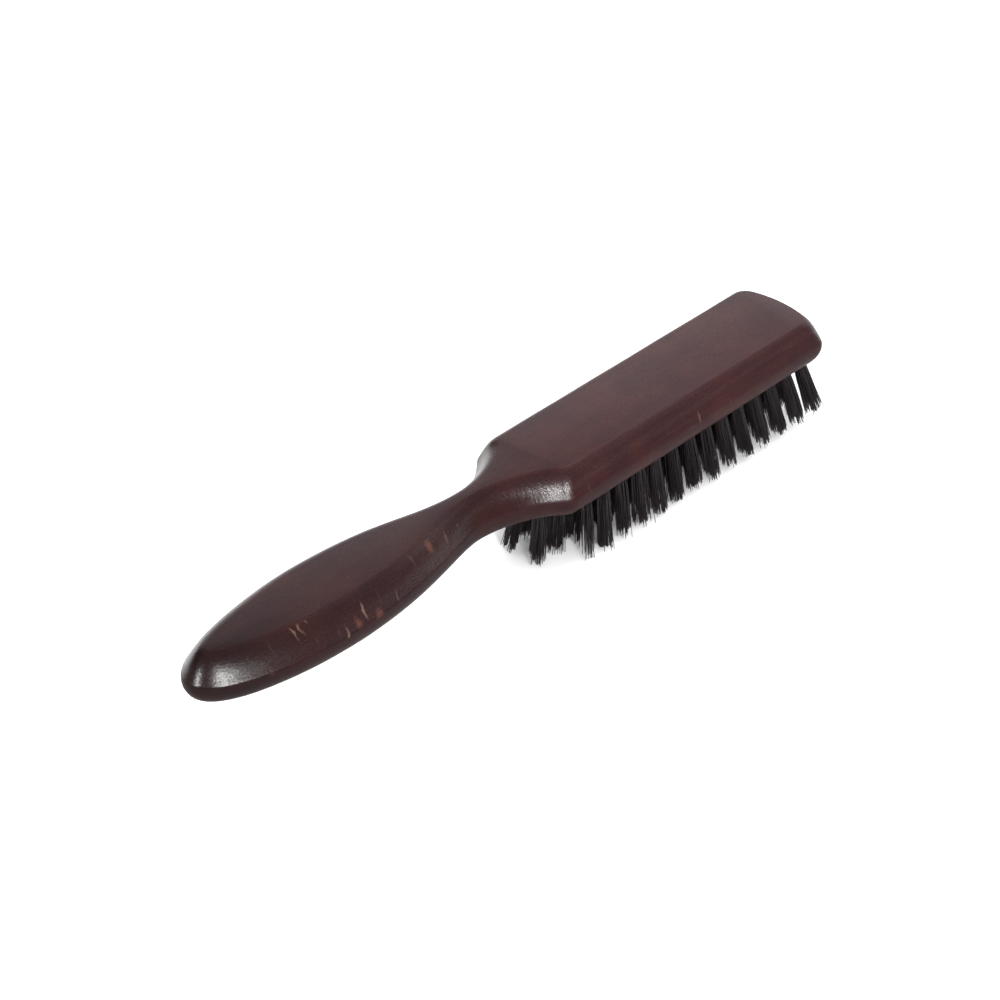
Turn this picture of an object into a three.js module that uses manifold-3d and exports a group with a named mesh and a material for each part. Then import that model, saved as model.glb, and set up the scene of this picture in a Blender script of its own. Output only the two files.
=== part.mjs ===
// Beard brush: a one-piece wooden stock with four rows of bristle tufts set on flat wire anchors.
// Millimetres. +X runs from the handle to the head, +Y is the left side, +Z is up out of the flat back.
// The origin is under the middle of the brush, at the level of the bristle tips that it stands on.
import * as THREE from "three";
import * as BufferGeometryUtils from "three/addons/utils/BufferGeometryUtils.js";
import Module from "manifold-3d";

const wasm = await Module();
wasm.setup();

// ---- Driving dimensions ----
const LENGTH = 190; // handle tip to the far end of the head
const HEIGHT = 26.5; // bristle tips to the flat back
const THICKNESS = 10.7; // the wooden stock
const BELT_DEPTH = 6.1; // level of the widest outline, at the foot of the bevel round the back
const CROWN_EASE = 0.62; // softened part of the bevel beside the crown edge, as a share of the bevel
const ROUND_STEPS = 3; // facets from the belt round to the sole
const SHOULDER_SKEW = 0.9; // the right shoulder sits this much nearer the toe, the left one nearer the tip
const TIP_SWAY = 0.5; // the handle bends this much to the left at its tip

const HOLE_RADIUS = 1.45;
const HOLE_DEPTH = 7; // along the hole
const TUFT_GAP = 0.3; // clearance between a tuft or anchor and the wood
const TUFT_TIP_RADIUS = 2; // the bundle spreads towards its tips
const TUFT_SIDES = 8;

const ANCHOR = { length: 3.7, thickness: 0.5, height: 1.6 }; // flat wire across the bottom of the hole

const PITCH = 5.6; // between tufts along a row
const LAST_TUFT_X = 89.6; // centre of the last tuft of the outer rows, near the far end
const LENGTHWISE_FAN = 3.4; // how far the end tufts' tips lean past their holes
const OUTER_COUNT = 14; // tufts in an outer row
const INNER_COUNT = 15; // tufts in an inner row, half a pitch out of step with the outer rows
const ROWS = [
  { name: "right_outer", y: -8.2, count: OUTER_COUNT, fan: -4, setBack: 0 },
  { name: "right_inner", y: -2.75, count: INNER_COUNT, fan: -1.3, setBack: PITCH / 2 },
  { name: "left_inner", y: 2.75, count: INNER_COUNT, fan: 1.3, setBack: PITCH / 2 },
  { name: "left_outer", y: 8.2, count: OUTER_COUNT, fan: 4, setBack: 0 },
];

// Three outlines of the stock seen from above, each from the handle's tip to the head's far end.
// x values count from the handle's tip; grip, neck, shoulder and toe hold half-widths.
const CROWN = {
  tip: 3.65,
  grip: { x: 37.9, half: 8.95, before: 12, after: 25 },
  neck: { x: 82.4, half: 2.6, before: 14, after: 7.3 },
  shoulder: { x: 102.2, half: 11, angle: 49, reach: 4, round: 1.6 },
  toe: { x: 186.6, half: 10.95, round: 3 },
  end: 188.35,
  nose: 5.6,
};
const BELT = {
  tip: 0,
  grip: { x: 36.5, half: 12.4, before: 16, after: 25 },
  neck: { x: 82.2, half: 5.3, before: 8, after: 8 },
  shoulder: { x: 101, half: 13.8, angle: 42, reach: 4, round: 1.8 },
  toe: { x: 188.7, half: 13.2, round: 3 },
  end: 190,
  nose: 8.6,
};
const SOLE = {
  tip: 3,
  grip: { x: 36.5, half: 9.6, before: 16, after: 25 },
  neck: { x: 82.2, half: 3.1, before: 8, after: 8 },
  shoulder: { x: 102, half: 10.9, angle: 44, reach: 4, round: 2.2 },
  toe: { x: 185.9, half: 10.5, round: 3 },
  end: 187.2,
  nose: 6.2,
};

const WOOD_COLOR = 0x4a2a24;
const BRISTLE_COLOR = 0x1a1716;

// ---- Stock ----

// One side of an outline, from the tip on the centre line to the far end on the centre line.
// Its shoulder is moved along the stock by the skew.
function halfOutline({ tip, grip, neck, shoulder, toe, end, nose }, skew) {
  const lean = THREE.MathUtils.degToRad(shoulder.angle);
  const rise = new THREE.Vector2(Math.cos(lean), Math.sin(lean));
  const corner = new THREE.Vector2(shoulder.x + skew, shoulder.half);
  const toeCorner = new THREE.Vector2(toe.x, toe.half);
  const side = toeCorner.clone().sub(corner).normalize();
  const cornerIn = corner.clone().addScaledVector(rise, -shoulder.round);
  const control = cornerIn.clone().addScaledVector(rise, -shoulder.reach);
  const cornerOut = corner.clone().addScaledVector(side, shoulder.round);
  const toeIn = toeCorner.clone().addScaledVector(side, -toe.round);

  // The far end is a shallow arc; the toe's corner runs into it.
  const bow = end - toe.x;
  const bowRadius = (toe.half ** 2 + bow ** 2) / (2 * bow);
  const bowStart = Math.asin(toe.half / bowRadius) - toe.round / bowRadius;
  const bowPoint = (angle) =>
    new THREE.Vector2(end - bowRadius * (1 - Math.cos(angle)), bowRadius * Math.sin(angle));
  const toeOut = bowPoint(bowStart);

  const curves = [
    [new THREE.CubicBezierCurve(
      new THREE.Vector2(tip, 0),
      new THREE.Vector2(tip, nose),
      new THREE.Vector2(grip.x - grip.before, grip.half),
      new THREE.Vector2(grip.x, grip.half)), 10],
    [new THREE.CubicBezierCurve(
      new THREE.Vector2(grip.x, grip.half),
      new THREE.Vector2(grip.x + grip.after, grip.half),
      new THREE.Vector2(neck.x - neck.before, neck.half),
      new THREE.Vector2(neck.x, neck.half)), 8],
    [new THREE.CubicBezierCurve(
      new THREE.Vector2(neck.x, neck.half),
      new THREE.Vector2(neck.x + neck.after, neck.half),
      control,
      cornerIn), 8],
    [new THREE.QuadraticBezierCurve(cornerIn, corner, cornerOut), 4],
    [new THREE.LineCurve(cornerOut, toeIn), 1],
    [new THREE.QuadraticBezierCurve(toeIn, toeCorner, toeOut), 5],
  ];
  const points = [new THREE.Vector2(tip, 0)];
  for (const [curve, steps] of curves) {
    points.push(...curve.getPoints(steps).slice(1));
  }
  const bowSteps = 4;
  for (let i = 1; i <= bowSteps; i++) {
    points.push(bowPoint(bowStart * (1 - i / bowSteps)));
  }
  return points;
}

// Point by point mix of two levels that have the same number of points.
function mixLevels(from, to, share) {
  return from.map((point, i) => point.clone().lerp(to[i], share));
}

// One side of the stock, level by level, as points of (x, half-width, depth below the back):
// the eased crown edge, the bevel down to the belt and the round to the sole.
function sideLevels(skew) {
  const level = (spec, depth) => halfOutline(spec, skew).map((p) => new THREE.Vector3(p.x, p.y, depth));
  const crown = level(CROWN, 0);
  const belt = level(BELT, BELT_DEPTH);
  const sole = level(SOLE, BELT_DEPTH);
  const inside = mixLevels(crown, belt, -CROWN_EASE).map((p) => p.setZ(0));
  const bevelTop = mixLevels(crown, belt, CROWN_EASE);
  const eased = mixLevels(mixLevels(inside, bevelTop, 0.5), crown, 0.5);

  const levels = [inside, eased, bevelTop, belt];
  for (let i = 1; i <= ROUND_STEPS; i++) {
    const angle = (i / ROUND_STEPS) * (Math.PI / 2);
    const depth = BELT_DEPTH + (THICKNESS - BELT_DEPTH) * Math.sin(angle);
    levels.push(mixLevels(belt, sole, 1 - Math.cos(angle)).map((p) => p.setZ(depth)));
  }
  return levels;
}

// Sideways shift of the centre line at a distance from the tip.
function sway(x) {
  return TIP_SWAY * Math.max(0, 1 - x / BELT.neck.x) ** 2;
}

// Closed skin through all the levels, with a flat back and a flat sole.
function stockGeometry() {
  const place = (p, side) => [p.x - LENGTH / 2, side * p.y + sway(p.x), HEIGHT - p.z];
  const rightLevels = sideLevels(SHOULDER_SKEW);
  const leftLevels = sideLevels(-SHOULDER_SKEW);
  const count = rightLevels[0].length;
  const loop = 2 * count - 2;
  const positions = [];
  rightLevels.forEach((right, i) => {
    const left = leftLevels[i].slice(1, -1).reverse();
    positions.push(...right.map((p) => place(p, -1)), ...left.map((p) => place(p, 1)));
  });
  const faces = [];
  for (let level = 0; level < rightLevels.length - 1; level++) {
    for (let i = 0; i < loop; i++) {
      const a = level * loop + i;
      const b = level * loop + ((i + 1) % loop);
      faces.push(a, a + loop, b, b, a + loop, b + loop);
    }
  }
  const mirror = (i) => (i === 0 || i === count - 1 ? i : loop - i);
  const sole = (rightLevels.length - 1) * loop;
  for (let i = 0; i < count - 1; i++) {
    const [a, b, c, d] = [i, i + 1, mirror(i + 1), mirror(i)];
    if (b !== c) {
      faces.push(a, b, c, sole + a, sole + c, sole + b);
    }
    if (a !== d) {
      faces.push(a, c, d, sole + a, sole + d, sole + c);
    }
  }
  const geometry = new THREE.BufferGeometry();
  geometry.setAttribute("position", new THREE.Float32BufferAttribute(positions.flat(), 3));
  geometry.setIndex(faces);
  return geometry;
}

// ---- Tufts ----

// Where each tuft enters the sole and which way its tips point.
function tuftPlaces() {
  const places = [];
  const firstX = LAST_TUFT_X - (OUTER_COUNT - 1) * PITCH;
  const middleX = (firstX + LAST_TUFT_X) / 2;
  const soleZ = HEIGHT - THICKNESS;
  for (const row of ROWS) {
    for (let i = 0; i < row.count; i++) {
      const x = LAST_TUFT_X - row.setBack - (row.count - 1 - i) * PITCH;
      const fromMiddle = (x - middleX) / (LAST_TUFT_X - middleX);
      const lean = LENGTHWISE_FAN * Math.max(fromMiddle, -1);
      places.push({
        name: `tuft_${row.name}_${String(i + 1).padStart(2, "0")}`,
        mouth: new THREE.Vector3(x, row.y, soleZ),
        direction: new THREE.Vector3(lean, row.fan, -soleZ).normalize(),
      });
    }
  }
  return places;
}

// Places a shape made along +Y, with its mouth level at y = 0, into a tuft's hole.
function tuftMatrix({ mouth, direction }) {
  const across = new THREE.Vector3(1, 0, 0).addScaledVector(direction, -direction.x).normalize();
  const third = new THREE.Vector3().crossVectors(across, direction);
  return new THREE.Matrix4().makeBasis(across, direction, third).setPosition(mouth);
}

// Solid of revolution from radius and height pairs, with ends closed on the axis.
function lathe(profile) {
  const points = profile.map(([radius, height]) => new THREE.Vector2(radius, height));
  return new THREE.LatheGeometry(points, TUFT_SIDES, Math.PI / TUFT_SIDES);
}

// Flat anchor wire across the bottom of the hole, grown by a clearance for its slot in the wood.
function anchorBox(clearance) {
  const { length, thickness, height } = ANCHOR;
  const [across, along, through] = [length, height, thickness].map((size) => size + 2 * clearance);
  const box = new THREE.BoxGeometry(across, along, through);
  return box.translate(0, -HOLE_DEPTH + TUFT_GAP + height / 2, 0);
}

function holeGeometry() {
  const overrun = 1;
  return lathe([
    [0, -HOLE_DEPTH],
    [HOLE_RADIUS, -HOLE_DEPTH],
    [HOLE_RADIUS, overrun],
    [0, overrun],
  ]);
}

// Folded bundle of bristle, longer than needed so that the trim below can cut its tips level.
function bundleGeometry() {
  const overlength = 2;
  const shankRadius = HOLE_RADIUS - TUFT_GAP;
  return lathe([
    [0, -HOLE_DEPTH + TUFT_GAP],
    [shankRadius, -HOLE_DEPTH + TUFT_GAP],
    [shankRadius, 0],
    [TUFT_TIP_RADIUS, HEIGHT - THICKNESS],
    [TUFT_TIP_RADIUS, HEIGHT - THICKNESS + overlength],
    [0, HEIGHT - THICKNESS + overlength],
  ]);
}

// ---- Solids ----

function toSolid(geometry) {
  const bare = geometry.clone();
  bare.deleteAttribute("normal");
  bare.deleteAttribute("uv");
  const merged = BufferGeometryUtils.mergeVertices(bare);
  return new wasm.Manifold(
    new wasm.Mesh({
      numProp: 3,
      vertProperties: new Float32Array(merged.attributes.position.array),
      triVerts: new Uint32Array(merged.index.array),
    }),
  );
}

function toGeometry(solid) {
  const mesh = solid.getMesh();
  const geometry = new THREE.BufferGeometry();
  geometry.setAttribute("position", new THREE.BufferAttribute(mesh.vertProperties, 3));
  geometry.setIndex(new THREE.BufferAttribute(mesh.triVerts, 1));
  geometry.computeVertexNormals();
  return geometry;
}

function stockMesh(places) {
  let solid = toSolid(stockGeometry());
  const socket = toSolid(holeGeometry()).add(toSolid(anchorBox(TUFT_GAP)));
  for (const place of places) {
    solid = solid.subtract(socket.transform(tuftMatrix(place).elements));
  }
  const material = new THREE.MeshStandardMaterial({ color: WOOD_COLOR, roughness: 0.35, metalness: 0 });
  const mesh = new THREE.Mesh(toGeometry(solid), material);
  mesh.name = "wood_body";
  return mesh;
}

function tuftMeshes(places) {
  const tuft = toSolid(bundleGeometry()).add(toSolid(anchorBox(0)));
  const span = 2 * LENGTH;
  const room = toSolid(new THREE.BoxGeometry(span, span, span).translate(0, 0, span / 2));
  return places.map((place) => {
    const trimmed = tuft.transform(tuftMatrix(place).elements).intersect(room);
    const material = new THREE.MeshStandardMaterial({ color: BRISTLE_COLOR, roughness: 0.5, metalness: 0 });
    const mesh = new THREE.Mesh(toGeometry(trimmed), material);
    mesh.name = place.name;
    return mesh;
  });
}

const places = tuftPlaces();
const brush = new THREE.Group();
brush.add(stockMesh(places));
brush.add(...tuftMeshes(places));

export default brush;
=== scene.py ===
"""Beard brush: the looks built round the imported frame.

Metres, with +X from the handle to the head and +Z out of the flat back.
"""

import math
import random

import bpy
import bmesh
from mathutils import Matrix, Vector, noise


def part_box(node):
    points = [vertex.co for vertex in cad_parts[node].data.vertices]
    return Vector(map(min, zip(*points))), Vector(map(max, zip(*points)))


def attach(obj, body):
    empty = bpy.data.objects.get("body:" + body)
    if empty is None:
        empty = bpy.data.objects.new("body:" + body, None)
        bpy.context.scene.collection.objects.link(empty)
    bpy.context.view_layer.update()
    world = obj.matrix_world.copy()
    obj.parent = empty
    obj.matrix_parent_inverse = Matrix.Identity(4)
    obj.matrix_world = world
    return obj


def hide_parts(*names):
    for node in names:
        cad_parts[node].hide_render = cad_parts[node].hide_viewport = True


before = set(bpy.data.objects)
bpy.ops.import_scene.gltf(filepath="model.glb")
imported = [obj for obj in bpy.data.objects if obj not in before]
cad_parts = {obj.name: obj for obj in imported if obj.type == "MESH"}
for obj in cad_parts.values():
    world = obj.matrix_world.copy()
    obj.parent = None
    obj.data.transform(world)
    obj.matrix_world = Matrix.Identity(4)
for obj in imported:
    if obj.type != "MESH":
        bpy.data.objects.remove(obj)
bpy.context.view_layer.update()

MM = 0.001

# ---- Stock dimensions, in millimetres unless named otherwise ----
stock_low, stock_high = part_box("wood_body")
TIP_X = stock_low.x
BACK_Z = stock_high.z
SOLE_Z = stock_low.z
THICKNESS = (BACK_Z - SOLE_Z) / MM

# Outlines seen from above. x counts from the handle's tip; grip, neck, shoulder and toe hold half-widths.
CROWN = dict(
    tip=3.65, nose=5.6, end=188.35,
    grip=dict(x=37.9, half=8.95, before=12, after=25),
    neck=dict(x=82.4, half=2.6, before=14, after=7.3),
    shoulder=dict(x=102.2, half=11, angle=49, reach=4, round=1.6),
    toe=dict(x=186.6, half=10.95, round=3),
)
BELT = dict(
    tip=0, nose=8.6, end=190,
    grip=dict(x=36.5, half=12.4, before=16, after=25),
    neck=dict(x=82.2, half=5.3, before=8, after=8),
    shoulder=dict(x=101, half=13.8, angle=42, reach=4, round=1.8),
    toe=dict(x=188.7, half=13.2, round=3),
)
SOLE = dict(
    tip=3, nose=6.2, end=187.2,
    grip=dict(x=36.5, half=9.6, before=16, after=25),
    neck=dict(x=82.2, half=3.1, before=8, after=8),
    shoulder=dict(x=102, half=10.9, angle=44, reach=4, round=2.2),
    toe=dict(x=185.9, half=10.5, round=3),
)
BELT_DEPTH = 6.1  # level of the widest outline, at the foot of the bevel round the back
CROWN_EASE = 0.62  # softened part of the bevel beside the crown edge, as a share of the bevel
BELT_EASE = 0.08  # softened part of it above the belt
SHOULDER_SKEW = 0.9  # the right shoulder sits this much nearer the toe, the left one nearer the tip
TIP_SWAY = 0.5  # the handle bends this much to the left at its tip
WAVINESS = ((70, 0.05), (230, 0.012))  # of the sanded edges: waves per metre and their height

# Steps along the stretches of an outline, and between the levels that the outlines are blended into.
OUTLINE_STEPS = dict(tip=44, grip=34, neck=26, shoulder=14, side=40, toe=14, bow=12)
CROWN_STEPS, BEVEL_STEPS, BELT_STEPS = 9, 4, 6
ROUND_STEPS = 14  # of the quarter turn from the belt to the sole
EASED_STEPS = 3  # of them that the softened belt takes up

HOLE_RADIUS = 1.45
HOLE_DEPTH = 7
ANCHOR_SIZE = (3.7, 0.5, 1.6)
ANCHOR_EDGE = 0.09  # broken edge of the wire
ANCHOR_RISE = 0.3  # above the bottom of the hole
ANCHOR_TOP = 1.9  # above the bottom of the hole

# ---- Bristles: millimetres, and shares of the radius of the bundle or of the fan ----
MOUTH_RADIUS = 1.35  # of the bundle where it leaves the wood
SPREAD = 2.3  # radius of the fan at the tips
FLARE = 0.85  # 1 is a straight-sided fan; below 1 it opens sooner
BRISTLE_PAIRS = 62  # bristles folded over each anchor
SPARSE_PAIRS = 14  # in the corner tuft that has lost many of its bristles
SPARSE_TUFT = "tuft_right_outer_01"
BRISTLE_RADIUS = (0.11, 0.15)  # thinnest and thickest
BRISTLE_BOW = 0.1
BRISTLE_ENDS = 0.55  # radius of a bristle at its ends, as a share of the rest
LEG_TURN = 0.1  # radians that the legs of a folded bristle keep from the anchor's line
FOLD_RISE = 0.35  # of the folds above the bottom of the hole
LOCKS = 7  # clumps that a tuft's bristles gather in, one of them in the middle
LOCK_TURN = 0.35  # how far a lock may stand from its even place, as a share of the pitch
LOCK_PLACE = 0.75  # how far out in the bundle it stands
LOCK_LEAN = (0.5, 0.8)  # how far out it leans at the tips
LOCK_LOOSENESS = (0.45, 0.85)  # how far its bristles keep their own places in it
LOCK_TRIM = 2.2  # how much shorter a worn lock may be
EDGE_TRIM = 2.4  # how much shorter the outer bristles of a tuft may be
FAR_TRIM = 1.3  # how much shorter the bristles at the toe are than those at the neck
TIP_WEAR = 0.3
TIP_WOBBLE = 0.1
STRAY_SHARE = 0.06  # of the bristles
STRAY_TRIM = 0.1
STRAY_WOBBLE = 0.5

# ---- Studio, in metres, world directions and strengths of light ----
STAGE_REACH = 4.0  # of the floor and of the plain backdrop that closes the view beyond it
SKY_AXIS = (0.75, 0.10, -0.65)  # the white sweep is brightest this way
SKY_FALL = (0.0, 0.22)  # between these cosines to the axis its light rises
SKY_LOW = 0.16
SKY_HIGH = 1.35
SKY_GAPS = (  # direction, inner and outer half-angle in degrees, share of the light that is left
    ((-0.26, 0.96, 0.08), 25, 42, 0.04),
    ((0.6, -0.8, 0.1), 22, 44, 0.2),
)
SKY_TINT = (1.0, 0.965, 0.99, 1)
LIGHTS = (  # name, direction, distance, size, watts, whether reflections show it
    ("right_softbox", (-0.44, -0.82, 0.33), 0.9, (0.19, 0.03), 10.5, True),
    ("right_edge_softbox", (-0.20, -0.91, 0.32), 0.9, (0.36, 0.07), 1.4, True),
    ("left_softbox", (-0.93, -0.03, 0.28), 0.9, (0.05, 0.03), 5.5, True),
    ("top_softbox", (0.1, 0.1, 1.0), 3.25, (8, 8), 487, False),
    ("right_fill", (-0.3, -1.0, 0.9), 1.0, (0.8, 0.8), 2.2, False),
)


# ---- Small helpers ----

def finish_mesh(name, shape):
    """The mesh of a bmesh, which is freed."""
    mesh = bpy.data.meshes.new(name)
    shape.to_mesh(mesh)
    shape.free()
    return mesh


def new_object(name, data):
    made = bpy.data.objects.new(name, data)
    bpy.context.scene.collection.objects.link(made)
    return made


def add_mesh(name, mesh, material, body="root"):
    """A new object for a mesh, with its material, riding on a CAD body."""
    piece = new_object(name, mesh)
    mesh.materials.append(material)
    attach(piece, body)
    return piece


def bezier(controls, steps, mix=Vector.lerp):
    """Points of a curve of any degree after its first one; mix blends two of its controls."""
    made = []
    for i in range(1, steps + 1):
        level = list(controls)
        while len(level) > 1:
            level = [mix(a, b, i / steps) for a, b in zip(level, level[1:])]
        made.append(level[0])
    return made


# ---- Materials ----

class Nodes:
    """Short forms for building a node tree."""

    def __init__(self, tree):
        self.tree = tree

    def node(self, kind, inputs=(), **settings):
        made = self.tree.nodes.new(kind)
        for key, value in settings.items():
            setattr(made, key, value)
        for key, value in dict(inputs).items():
            self.feed(made.inputs[key], value)
        return made

    def feed(self, socket, value):
        if isinstance(value, bpy.types.NodeSocket):
            self.tree.links.new(value, socket)
        else:
            socket.default_value = value

    def scaled(self, vector, scale):
        return self.node("ShaderNodeMapping", {"Vector": vector, "Scale": scale}).outputs["Vector"]

    def noise(self, vector, scale, detail, roughness=0.55):
        place = self.scaled(vector, scale)
        inputs = {"Vector": place, "Scale": 1.0, "Detail": detail, "Roughness": roughness}
        return self.node("ShaderNodeTexNoise", inputs).outputs["Fac"]

    def shifted(self, vector, scale, detail, reach):
        """The vector moved about by up to half the reach, in waves of a size set by the scale."""
        inputs = {"Vector": self.scaled(vector, scale), "Scale": 1.0, "Detail": detail}
        wave = self.node("ShaderNodeTexNoise", inputs).outputs["Color"]
        step = self.node("ShaderNodeVectorMath", {0: wave, 1: (0.5, 0.5, 0.5)}, operation="SUBTRACT")
        step = self.node("ShaderNodeVectorMath", {0: step.outputs[0], "Scale": reach}, operation="SCALE")
        moved = self.node("ShaderNodeVectorMath", {0: vector, 1: step.outputs[0]}, operation="ADD")
        return moved.outputs[0]

    def cells(self, vector, scale):
        """The distance from the middle of the nearest random cell, and that cell's three chance values."""
        made = self.node("ShaderNodeTexVoronoi", {"Vector": vector, "Scale": scale})
        chances = self.node("ShaderNodeSeparateColor", {"Color": made.outputs["Color"]})
        return made.outputs["Distance"], chances.outputs

    def math(self, operation, a, b):
        return self.node("ShaderNodeMath", {0: a, 1: b}, operation=operation).outputs[0]

    def product(self, first, *others):
        made = first
        for value in others:
            made = self.math("MULTIPLY", made, value)
        return made

    def ramp(self, value, low, high, to_low=0.0, to_high=1.0):
        inputs = {"Value": value, "From Min": low, "From Max": high, "To Min": to_low, "To Max": to_high}
        return self.node("ShaderNodeMapRange", inputs, interpolation_type="SMOOTHSTEP").outputs["Result"]

    def mix(self, share, a, b):
        made = self.node("ShaderNodeMix", data_type="RGBA")
        self.feed(made.inputs["Factor"], share)
        self.feed(made.inputs[6], a)
        self.feed(made.inputs[7], b)
        return made.outputs[2]

    def bump(self, height, strength, distance, below=None):
        inputs = {"Height": height, "Strength": strength, "Distance": distance}
        if below is not None:
            inputs["Normal"] = below
        return self.node("ShaderNodeBump", inputs).outputs["Normal"]


class MaterialNodes(Nodes):
    """A new material with one Principled shader."""

    def __init__(self, name):
        self.material = bpy.data.materials.new(name)
        self.material.use_nodes = True
        super().__init__(self.material.node_tree)

    def set(self, **values):
        shader = self.tree.nodes["Principled BSDF"]
        for key, value in values.items():
            self.feed(shader.inputs[key.replace("_", " ")], value)


STAIN_DARK = (0.0195, 0.0070, 0.0080, 1)
STAIN_PALE = (0.0250, 0.0088, 0.0098, 1)
STAIN_FIBRE = (0.0400, 0.0130, 0.0130, 1)
STAIN_CLOUD = (0.0390, 0.0125, 0.0098, 1)
STAIN_PORE = (0.009, 0.004, 0.004, 1)
HANDLE_DARK = (0.003, 0.0018, 0.0022, 1)
# Painted shade: near-black that the sides and underside are darkened towards.
PAINTED_SIDE_SHADE = (0.003, 0.0018, 0.0018, 1)
RAY_PALE = (0.110, 0.066, 0.050, 1)
WORN_PATCH = (0.11, 0.042, 0.028, 1)
PALE_DOT = (0.30, 0.24, 0.22, 1)
BRISTLE_DARK = (0.0034, 0.0022, 0.0028, 1)
BRISTLE_PALE = (0.0130, 0.0088, 0.0105, 1)
# Painted sheen: grey that the bristles are streaked with.
BRISTLE_PAINTED_SHEEN = (0.018, 0.0122, 0.0140, 1)
BRASS_DARK = (0.55, 0.36, 0.13, 1)
BRASS_PALE = (0.68, 0.48, 0.20, 1)

# Stretches of the stock, in metres along X, over which something comes in or dies out.
TIP_DARKENING_END = (-0.098, -0.060)
HANDLE_DARKENING_END = (-0.02, 0.03)
GRIP_RAYS = ((-0.082, -0.076), (-0.052, -0.060))
NECK_PATCHES = ((-0.052, -0.046), (0.0, -0.010))
RIDGES_START = (-0.06, -0.01)


def beech_stain(n, place, grain, fibre, pores, along, on_back):
    """Colour of the stained wood: bands, fibre and pores, cloudy stain, a darker handle, and painted shade
    on the sides.
    """
    bands = n.noise(grain, (7, 190, 260), 3.0, 0.5)
    clouds = n.noise(place, (60, 90, 90), 5.0, 0.62)
    colour = n.mix(n.ramp(bands, 0.3, 0.72), STAIN_DARK, STAIN_PALE)
    colour = n.mix(n.ramp(fibre, 0.35, 0.75, 0.0, 0.1), colour, STAIN_FIBRE)
    colour = n.mix(n.ramp(clouds, 0.40, 0.68, 0.0, 0.6), colour, STAIN_CLOUD)
    colour = n.mix(n.ramp(pores, 0.62, 0.76, 0.0, 0.25), colour, STAIN_PORE)

    # The handle is darker, most of all towards its tip.
    tip_darkening = n.ramp(along, *TIP_DARKENING_END, 0.4, 0.0)
    handle_darkening = n.ramp(along, *HANDLE_DARKENING_END, 0.42, 0.0)
    colour = n.mix(n.math("ADD", tip_darkening, handle_darkening), colour, HANDLE_DARK)
    # Painted shade: all but the back is darkened by about a quarter, as if less lit than the back.
    return n.mix(n.ramp(on_back, 0.0, 1.0, 0.27, 0.0), colour, PAINTED_SIDE_SHADE)


def beech_flecks(n, colour, place, along, on_side):
    """Adds thin bent rays on the sides, across the grain, and a few worn orange patches among them."""
    bent = n.shifted(place, (340, 340, 340), 3.0, 0.0024)
    scattered = n.ramp(n.noise(place, (38, 50, 50), 2.0), 0.48, 0.58)

    def scattered_and_within(start, end):
        return n.math("MAXIMUM", scattered, n.product(n.ramp(along, *start), n.ramp(along, *end)))

    distance, chances = n.cells(n.scaled(bent, (700, 110, 90)), 1.0)
    ray = n.product(n.ramp(distance, 0.3, 0.1), n.ramp(chances[0], 0.0, 0.7))
    ray = n.product(ray, scattered_and_within(*GRIP_RAYS), on_side, 0.7)
    colour = n.mix(ray, colour, RAY_PALE)

    distance, chances = n.cells(n.scaled(bent, (230, 170, 150)), 1.0)
    patch = n.product(n.ramp(distance, 0.34, 0.05), n.ramp(chances[1], 0.7, 0.86))
    patch = n.product(patch, scattered_and_within(*NECK_PATCHES), on_side, 0.4)
    return n.mix(patch, colour, WORN_PATCH)


def pale_dots(n, colour, place):
    """Adds tiny, sparse pale specks."""
    distance, chances = n.cells(place, 210.0)
    dot_share = n.product(n.ramp(distance, 0.05, 0.02), n.ramp(chances[2], 0.86, 0.9), 0.5)
    return n.mix(dot_share, colour, PALE_DOT)


def lacquer_relief(n, place, fibre, along, on_side):
    """Normal of the lacquer: faint fibre and waves all over, peel and brushed ridges on the sides."""
    peel = n.noise(place, (2800, 2800, 2800), 2.0, 0.6)
    ridges = n.noise(place, (1900, 420, 420), 3.0, 0.6)
    waves = n.noise(place, (240, 300, 300), 2.0)
    normal = n.bump(fibre, 0.03, 0.00004)
    normal = n.bump(peel, n.math("MULTIPLY", on_side, 0.6), 0.00008, normal)
    ridged = n.math("MULTIPLY", on_side, n.ramp(along, *RIDGES_START, 0.1, 0.4))
    normal = n.bump(ridges, ridged, 0.00016, normal)
    return n.bump(waves, 0.12, 0.0002, normal)


def stained_beech():
    """Dark stained beech under satin lacquer that is thinner and duller towards the sole."""
    n = MaterialNodes("stained_beech")
    place = n.node("ShaderNodeTexCoord").outputs["Object"]
    along = n.node("ShaderNodeSeparateXYZ", {"Vector": place}).outputs["X"]
    facing = n.node("ShaderNodeNewGeometry").outputs["Normal"]
    upward = n.node("ShaderNodeSeparateXYZ", {"Vector": facing}).outputs["Z"]
    on_back = n.ramp(upward, 0.85, 0.98)
    on_side = n.math("SUBTRACT", n.ramp(upward, 0.05, 0.25), on_back)

    # The grain runs along X and wanders a little.
    grain = n.shifted(place, (22, 45, 45), 1.0, 0.004)
    fibre = n.noise(grain, (55, 1500, 1500), 5.0, 0.62)
    pores = n.noise(grain, (420, 5200, 5200), 2.0, 0.5)

    colour = beech_stain(n, place, grain, fibre, pores, along, on_back)
    colour = beech_flecks(n, colour, place, along, on_side)
    colour = pale_dots(n, colour, place)
    rough = n.math("ADD", n.ramp(fibre, 0.3, 0.8, 0.24, 0.27), n.math("MULTIPLY", pores, 0.04))
    rough = n.math("ADD", rough, n.ramp(upward, 0.35, 0.0, 0.0, 0.2))
    lacquer = n.ramp(upward, 0.50, 0.41, 0.5, 0.08)
    normal = lacquer_relief(n, place, fibre, along, on_side)
    n.set(Base_Color=colour, Roughness=rough, Normal=normal, IOR=1.35, Specular_IOR_Level=lacquer)
    return n.material


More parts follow.
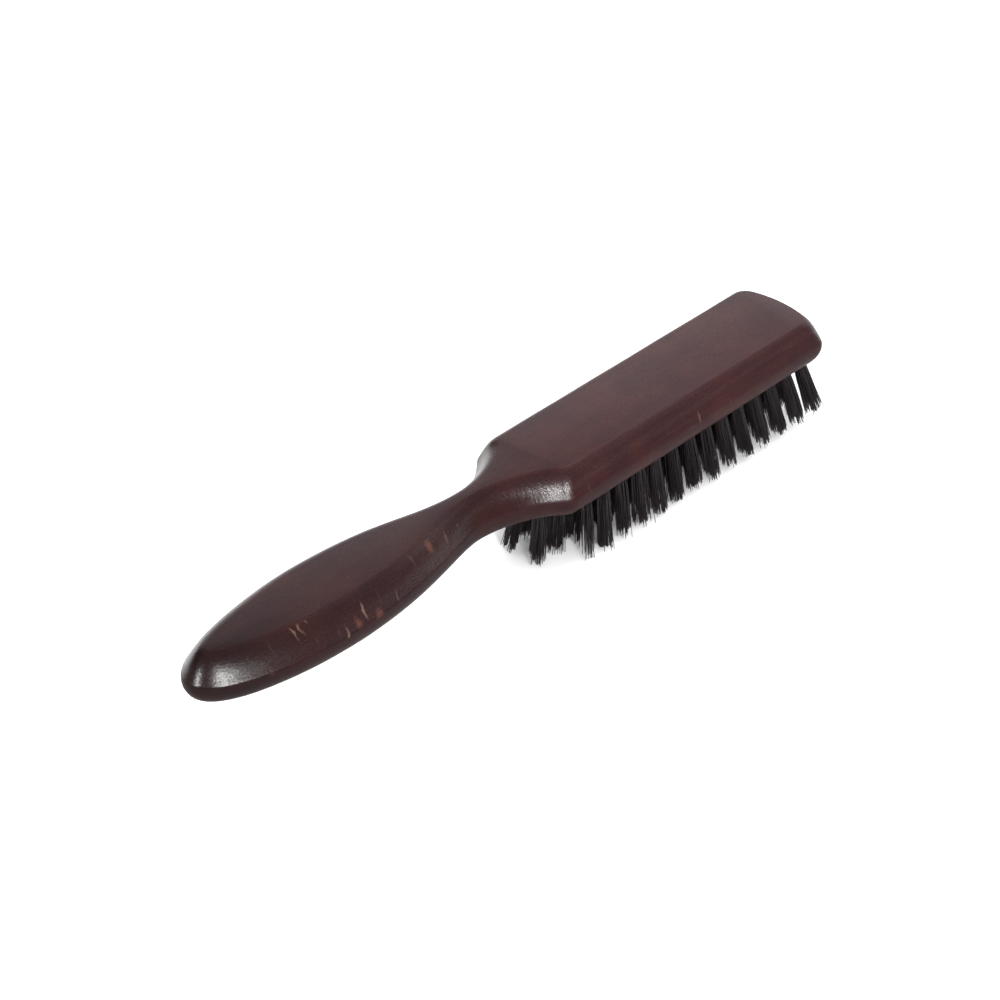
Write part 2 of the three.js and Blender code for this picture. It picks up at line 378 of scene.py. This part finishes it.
def black_bristle():
    """Near-black bristle: each strand has its own tone, with faint streaks of painted sheen."""
    n = MaterialNodes("black_bristle")
    tone = n.node("ShaderNodeAttribute", attribute_name="tone").outputs["Fac"]
    place = n.node("ShaderNodeTexCoord").outputs["Object"]
    streak = n.noise(place, (900, 900, 140), 2.0)
    colour = n.mix(n.ramp(tone, 0.0, 1.0), BRISTLE_DARK, BRISTLE_PALE)
    # Painted sheen: grey streaks mixed into the bristles' colour.
    colour = n.mix(n.ramp(streak, 0.45, 0.75, 0.0, 0.5), colour, BRISTLE_PAINTED_SHEEN)
    rough = n.ramp(streak, 0.3, 0.7, 0.4, 0.55)
    n.set(Base_Color=colour, Roughness=rough, IOR=1.38, Specular_IOR_Level=0.25)
    return n.material


def anchor_brass():
    """Drawn flat brass wire."""
    n = MaterialNodes("anchor_brass")
    place = n.node("ShaderNodeTexCoord").outputs["Object"]
    drawn = n.noise(place, (200, 9000, 9000), 3.0)
    colour = n.mix(n.ramp(drawn, 0.3, 0.7), BRASS_DARK, BRASS_PALE)
    n.set(Base_Color=colour, Metallic=1.0, Roughness=n.ramp(drawn, 0.3, 0.7, 0.28, 0.42))
    return n.material


# ---- Stock ----

def half_outline(skew, tip, nose, end, grip, neck, shoulder, toe):
    """One side of an outline, from the tip on the centre line to the far end, its shoulder skewed."""
    lean = math.radians(shoulder["angle"])
    rise = Vector((math.cos(lean), math.sin(lean)))
    corner = Vector((shoulder["x"] + skew, shoulder["half"]))
    toe_corner = Vector((toe["x"], toe["half"]))
    side = (toe_corner - corner).normalized()
    corner_in = corner - rise * shoulder["round"]
    corner_out = corner + side * shoulder["round"]
    toe_in = toe_corner - side * toe["round"]

    bow = end - toe["x"]
    bow_radius = (toe["half"] ** 2 + bow**2) / (2 * bow)
    bow_start = math.asin(toe["half"] / bow_radius) - toe["round"] / bow_radius

    def bow_point(angle):
        return Vector((end - bow_radius * (1 - math.cos(angle)), bow_radius * math.sin(angle)))

    start = Vector((tip, 0))
    widest = Vector((grip["x"], grip["half"]))
    narrowest = Vector((neck["x"], neck["half"]))
    along = Vector((1, 0))
    steps = OUTLINE_STEPS
    grip_in, grip_out = widest - along * grip["before"], widest + along * grip["after"]
    neck_in, neck_out = narrowest - along * neck["before"], narrowest + along * neck["after"]
    points = [start]
    points += bezier([start, Vector((tip, nose)), grip_in, widest], steps["tip"])
    points += bezier([widest, grip_out, neck_in, narrowest], steps["grip"])
    points += bezier([narrowest, neck_out, corner_in - rise * shoulder["reach"], corner_in], steps["neck"])
    points += bezier([corner_in, corner, corner_out], steps["shoulder"])
    points += bezier([corner_out, toe_in], steps["side"])
    points += bezier([toe_in, toe_corner, bow_point(bow_start)], steps["toe"])
    points += [bow_point(bow_start * (1 - i / steps["bow"])) for i in range(1, steps["bow"] + 1)]
    return points


def mix_levels(a, b, share):
    return [p.lerp(q, share) for p, q in zip(a, b)]


def side_levels(skew):
    """One side's levels of (x, half-width, depth): eased crown edge, bevel, softened belt, round."""

    def level(spec, depth):
        return [Vector((*p, depth)) for p in half_outline(skew, **spec)]

    crown, belt, sole = level(CROWN, 0), level(BELT, BELT_DEPTH), level(SOLE, BELT_DEPTH)
    inside = [Vector((p.x, p.y, 0)) for p in mix_levels(crown, belt, -CROWN_EASE)]
    bevel_top = mix_levels(crown, belt, CROWN_EASE)
    bevel_foot = mix_levels(crown, belt, 1 - BELT_EASE)

    rounded = []
    for i in range(EASED_STEPS, ROUND_STEPS + 1):
        angle = i / ROUND_STEPS * math.pi / 2
        drop = Vector((0, 0, (THICKNESS - BELT_DEPTH) * math.sin(angle)))
        rounded.append([p + drop for p in mix_levels(belt, sole, 1 - math.cos(angle))])

    levels = [inside]
    levels += bezier([inside, crown, bevel_top], CROWN_STEPS, mix_levels)
    levels += bezier([bevel_top, bevel_foot], BEVEL_STEPS, mix_levels)
    levels += bezier([bevel_foot, belt, rounded[0]], BELT_STEPS, mix_levels)
    return levels + rounded[1:]


def stock_point(p, side):
    """Places a level's point on the right (-1) or the left (1) of the swaying centre line."""
    sway = TIP_SWAY * max(0, 1 - p.x / BELT["neck"]["x"]) ** 2
    return TIP_X + p.x * MM, (side * p.y + sway) * MM, BACK_Z - p.z * MM


def stock_mesh():
    """Closed skin through all the levels, with the hand-sanded unevenness of real edges."""
    shape = bmesh.new()
    rings = []
    for right, left in zip(side_levels(SHOULDER_SKEW), side_levels(-SHOULDER_SKEW)):
        places = [stock_point(p, -1) for p in right] + [stock_point(p, 1) for p in reversed(left[1:-1])]
        rings.append([shape.verts.new(p) for p in places])
    for upper, lower in zip(rings, rings[1:]):
        for i, a in enumerate(upper):
            j = (i + 1) % len(upper)
            shape.faces.new((a, lower[i], lower[j], upper[j]))
    shape.faces.new(rings[0])
    shape.faces.new(list(reversed(rings[-1])))
    shape.normal_update()
    for ring in rings[2:-3]:  # the rims of the flat back and sole stay true
        for vert in ring:
            swell = sum(noise.noise(vert.co * waves) * height * MM for waves, height in WAVINESS)
            vert.co += vert.normal * swell
    return finish_mesh("stock", shape)


def tuft_axis(node):
    """(mouth of the hole, middle of the tips) of a CAD tuft, from its rings of vertices."""
    places = [v.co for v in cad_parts[node].data.vertices]

    def middle(low, high):
        ring = [p for p in places if low <= p.z <= high]
        return sum(ring, Vector()) / len(ring)

    near = 0.6 * MM
    return middle(SOLE_Z - near, SOLE_Z + near), middle(-near, near)


def tuft_matrix(mouth, tips):
    """A frame at the hole's mouth: X across along the anchor, Z from the hole towards the tips."""
    direction = (tips - mouth).normalized()
    across = (Vector((1, 0, 0)) - direction * direction.x).normalized()
    third = direction.cross(across)
    return Matrix.Translation(mouth) @ Matrix((across, third, direction)).transposed().to_4x4()


def drill(stock, places):
    """Cuts the blind holes into the sole."""
    cutter = bmesh.new()
    proud = 1
    radius, depth = HOLE_RADIUS * MM, (HOLE_DEPTH + proud) * MM
    for place in places:
        pin = bmesh.ops.create_cone(
            cutter, cap_ends=True, segments=28, radius1=radius, radius2=radius, depth=depth)
        bmesh.ops.translate(cutter, verts=pin["verts"], vec=(0, 0, (proud - HOLE_DEPTH) / 2 * MM))
        bmesh.ops.transform(cutter, matrix=place, verts=pin["verts"])
    tool = new_object("drill", finish_mesh("drill", cutter))
    cut = stock.modifiers.new("holes", "BOOLEAN")
    cut.object = tool
    cut.operation = "DIFFERENCE"
    cut.solver = "EXACT"
    depsgraph = bpy.context.evaluated_depsgraph_get()
    drilled = bpy.data.meshes.new_from_object(stock.evaluated_get(depsgraph))
    stock.modifiers.clear()
    stock.data = drilled
    bpy.data.objects.remove(tool)


def make_stock(places):
    stock = add_mesh("stock", stock_mesh(), stained_beech())
    drill(stock, places)
    stock.data.shade_smooth()
    stock.data.set_sharp_from_angle(angle=math.radians(50))
    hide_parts("wood_body")


# ---- Tufts ----

def wobble(rng, size):
    return Vector((rng.gauss(0, size), rng.gauss(0, size), 0))


def strand(verts, faces, tones, path, widths, tone):
    """Adds a three-sided tube along a path to the lists."""
    base = len(verts)
    sides = 3
    for i, point in enumerate(path):
        ahead = path[min(i + 1, len(path) - 1)] - path[max(i - 1, 0)]
        along = ahead.normalized()
        one = along.orthogonal().normalized()
        if abs(along.z) > 0.3:  # where it climbs, its sides keep facing the same way
            one = (Vector((1, 0, 0)) - along * along.x).normalized()
        two = along.cross(one)
        for k in range(sides):
            turn = 2 * math.pi * k / sides
            verts.append(point + (one * math.cos(turn) + two * math.sin(turn)) * widths[i])
            tones.append(tone)
    for i in range(len(path) - 1):
        for k in range(sides):
            a = base + i * sides + k
            b = base + i * sides + (k + 1) % sides
            faces.append((a, b, b + sides, a + sides))
    faces.append(tuple(base + k for k in reversed(range(sides))))
    faces.append(tuple(base + (len(path) - 1) * sides + k for k in range(sides)))


def make_locks(rng):
    """(place in the bundle, place at the tips, wear) of each lock: a ring round one in the middle."""
    locks = []
    for i in range(LOCKS):
        turn = 2 * math.pi * (i + rng.uniform(-LOCK_TURN, LOCK_TURN)) / (LOCKS - 1)
        out = 0 if i == LOCKS - 1 else 1
        heading = Vector((math.cos(turn), math.sin(turn), 0)) * out
        locks.append((heading * LOCK_PLACE, heading * rng.uniform(*LOCK_LEAN), rng.uniform(0.0, 1.0) ** 2))
    return locks


def bristle_leg(spot, locks, length, rng):
    """Half of a folded bristle, from beside the anchor to its tip: it leans with the nearest lock."""
    lock, lean, wear = min(locks, key=lambda one: (one[0] - spot).length)
    stray = rng.random() < STRAY_SHARE
    loose = rng.uniform(*LOCK_LOOSENESS)
    tip = (lean + (spot - lock) * loose) * SPREAD + wobble(rng, STRAY_WOBBLE if stray else TIP_WOBBLE)
    edge = EDGE_TRIM * spot.length**3 * rng.random()
    trim = wear * LOCK_TRIM + edge + abs(rng.gauss(0, TIP_WEAR))
    reach = length - (STRAY_TRIM * rng.random() if stray else trim) * MM
    bow = wobble(rng, BRISTLE_BOW)
    leg = [spot * MOUTH_RADIUS * MM + Vector((0, 0, (ANCHOR_TOP - HOLE_DEPTH) * MM))]
    for t in (0.0, 0.25, 0.5, 0.75, 1.0):
        across = (spot * MOUTH_RADIUS).lerp(tip, t**FLARE) + bow * math.sin(math.pi * t)
        leg.append(across * MM + Vector((0, 0, reach * t)))
    return leg


def tuft_mesh(name, place, length, pairs, rng):
    """Bristles folded over the anchor, fanning out of the hole in ragged locks."""
    locks = make_locks(rng)
    verts, faces, tones = [], [], []
    for _ in range(pairs):
        turn = rng.uniform(LEG_TURN, math.pi - LEG_TURN)
        out = math.sqrt(rng.uniform(0.01, 1))  # even over the bundle's round section
        spots = [Vector((math.cos(turn) * out, side * math.sin(turn) * out, 0)) for side in (1, -1)]
        legs = [bristle_leg(spot, locks, length, rng) for spot in spots]
        fold = Vector((legs[0][0].x, 0, (FOLD_RISE - HOLE_DEPTH) * MM))
        path = [place @ point for point in list(reversed(legs[0])) + [fold] + legs[1]]
        for point in path:
            point.z = max(point.z, 0)  # nothing reaches below the surface that the brush stands on
        thick = rng.uniform(*BRISTLE_RADIUS) * MM
        widths = []
        for i in range(len(path)):
            fullness = min(1, min(i, len(path) - 1 - i) / 2)
            widths.append(thick * (BRISTLE_ENDS + (1 - BRISTLE_ENDS) * fullness))
        strand(verts, faces, tones, path, widths, rng.random())
    mesh = bpy.data.meshes.new(name)
    mesh.from_pydata([tuple(v) for v in verts], [], faces)
    mesh.attributes.new("tone", "FLOAT", "POINT").data.foreach_set("value", tones)
    mesh.shade_smooth()
    return mesh


def anchor_mesh(name, place):
    """Flat wire with broken edges, across the bottom of the hole."""
    shape = bmesh.new()
    bmesh.ops.create_cube(shape, size=1)
    length, thickness, height = (size * MM for size in ANCHOR_SIZE)
    lift = Matrix.Translation((0, 0, (-HOLE_DEPTH + ANCHOR_RISE) * MM + height / 2))
    bmesh.ops.scale(shape, verts=shape.verts, vec=(length, thickness, height))
    bmesh.ops.bevel(
        shape, geom=shape.edges, offset=ANCHOR_EDGE * MM, segments=2, affect="EDGES", profile=0.5)
    bmesh.ops.transform(shape, matrix=place @ lift, verts=shape.verts)
    return finish_mesh(name, shape)


def make_tufts(axes):
    """A tuft and an anchor for each hole; the tufts get a little shorter towards the toe."""
    bristle, brass = black_bristle(), anchor_brass()
    first = min(mouth.x for mouth, _ in axes.values())
    last = max(mouth.x for mouth, _ in axes.values())
    for node, (mouth, tips) in axes.items():
        row = node.removeprefix("tuft_")
        place = tuft_matrix(mouth, tips)
        along = (mouth.x - first) / (last - first)
        reach = (tips - mouth).length - FAR_TRIM * along * MM
        pairs = SPARSE_PAIRS if node == SPARSE_TUFT else BRISTLE_PAIRS
        mesh = tuft_mesh("bristles_" + row, place, reach, pairs, random.Random(node))
        tuft = add_mesh("bristles_" + row, mesh, bristle)
        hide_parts(node)
        add_mesh("anchor_" + row, anchor_mesh("anchor_" + row, place), brass)


# ---- Studio ----

def make_camera():
    """Looks down on the back from the right of the handle, aimed a little left of and below its middle."""
    azimuth, elevation = math.radians(-47.05), math.radians(34.7)
    distance, focal_length = 0.9, 149.4
    left, below = 1.39 * MM, 7.21 * MM
    level = Vector((math.sin(azimuth), -math.cos(azimuth), 0))
    back = level * math.cos(elevation) + Vector((0, 0, math.sin(elevation)))
    right = Vector((math.cos(azimuth), math.sin(azimuth), 0))
    upward = back.cross(right)
    middle = Vector((0, 0, BACK_Z + 0.5 * MM))  # a little above the back
    aim = middle - right * left - upward * below
    data = bpy.data.cameras.new("camera")
    data.lens = focal_length
    camera = new_object("camera", data)
    camera.location = middle + back * distance
    camera.rotation_euler = (camera.location - aim).to_track_quat("Z", "Y").to_euler()
    bpy.context.scene.camera = camera


def add_light(name, toward, distance, size, watts, glossy):
    """A soft rectangular light that faces the brush from a direction."""
    data = bpy.data.lights.new(name, "AREA")
    data.shape = "RECTANGLE"
    data.size, data.size_y = size
    data.energy = watts
    light = new_object(name, data)
    light.location = Vector(toward).normalized() * distance
    light.rotation_euler = Vector(toward).to_track_quat("Z", "Y").to_euler()
    light.visible_camera = False
    light.visible_glossy = glossy


def make_sky():
    """White sweep, bright beyond the toe and dim over the handle, with a black flag and a dim gap."""
    world = bpy.data.worlds.new("studio")
    world.use_nodes = True
    n = Nodes(world.node_tree)
    heading = n.node("ShaderNodeTexCoord").outputs["Generated"]

    def cosine_to(aim):
        inputs = {0: heading, 1: Vector(aim).normalized()}
        return n.node("ShaderNodeVectorMath", inputs, operation="DOT_PRODUCT").outputs["Value"]

    light = n.ramp(cosine_to(SKY_AXIS), *SKY_FALL, SKY_LOW, SKY_HIGH)
    for aim, narrow, wide, dim in SKY_GAPS:
        outside, inside = math.cos(math.radians(wide)), math.cos(math.radians(narrow))
        light = n.math("MULTIPLY", light, n.ramp(cosine_to(aim), outside, inside, 1.0, dim))
    background = n.tree.nodes["Background"]
    n.feed(background.inputs["Strength"], light)
    n.feed(background.inputs["Color"], SKY_TINT)
    return world


def make_backdrop():
    """Pale shell round the stage that only the camera sees, so that it lights and reflects nothing."""
    n = MaterialNodes("pale_backdrop")
    n.set(Base_Color=(0, 0, 0, 1), Roughness=1.0)
    n.set(Emission_Color=(0.93, 0.93, 0.93, 1), Emission_Strength=1.15)
    n.material.cycles.emission_sampling = "NONE"
    shape = bmesh.new()
    bmesh.ops.create_icosphere(shape, subdivisions=4, radius=STAGE_REACH)
    backdrop = new_object("backdrop", finish_mesh("backdrop", shape))
    backdrop.data.materials.append(n.material)
    backdrop.visible_diffuse = False
    backdrop.visible_glossy = False
    backdrop.visible_shadow = False


def make_floor():
    n = MaterialNodes("pale_floor")
    speck = n.noise(n.node("ShaderNodeTexCoord").outputs["Object"], (3, 3, 3), 2.0)
    n.set(Base_Color=n.mix(speck, (0.82, 0.82, 0.82, 1), (0.84, 0.84, 0.84, 1)), Roughness=0.9)
    shape = bmesh.new()
    bmesh.ops.create_grid(shape, x_segments=1, y_segments=1, size=STAGE_REACH)
    floor = new_object("floor", finish_mesh("floor", shape))
    floor.data.materials.append(n.material)


def make_studio():
    scene = bpy.context.scene
    scene.view_settings.view_transform = "Standard"
    scene.world = make_sky()
    for light in LIGHTS:
        add_light(*light)
    make_backdrop()
    make_floor()


make_camera()
make_studio()
tuft_axes = {node: tuft_axis(node) for node in sorted(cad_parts) if node.startswith("tuft_")}
make_stock([tuft_matrix(mouth, tips) for mouth, tips in tuft_axes.values()])
make_tufts(tuft_axes)
